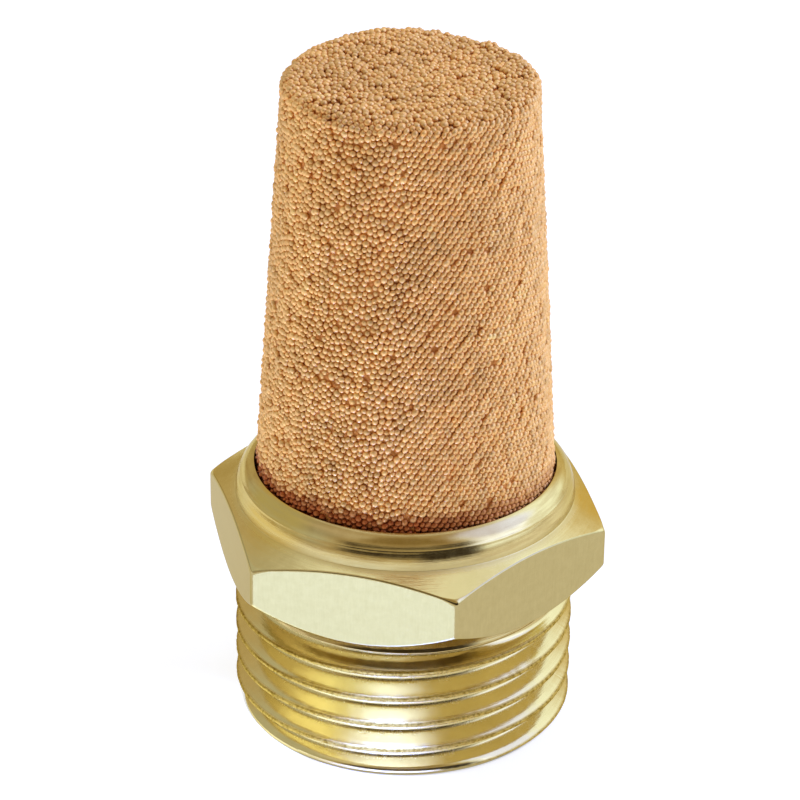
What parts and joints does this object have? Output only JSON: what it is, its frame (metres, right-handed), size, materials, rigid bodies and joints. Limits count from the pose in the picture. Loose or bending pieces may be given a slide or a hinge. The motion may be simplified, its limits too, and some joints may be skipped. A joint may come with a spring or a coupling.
{
  "type": "pneumatic muffler",
  "caption": "Conical sintered-bronze air silencer: hollow closed-end porous cone held by a rolled rim in a brass body with a hexagon and a male pipe thread.",
  "frame": {"origin": "centre of the thread's end face, the lowest face", "axes": "+Z along the axis from the threaded end to the cone's closed end; -Y and +Y are normal to two hexagon flats; +X points at a hexagon corner"},
  "size_m": [0.0254, 0.022, 0.0417],
  "materials": {
    "turned_brass": "bright turned brass, satin, with fine turning marks",
    "sintered_bronze": "porous sintered bronze beads, each bead bright on top"
  },
  "bodies": {
    "root": {"threaded_hex_body": "turned_brass", "sintered_bronze_cone": "sintered_bronze"}
  },
  "joints": []
}
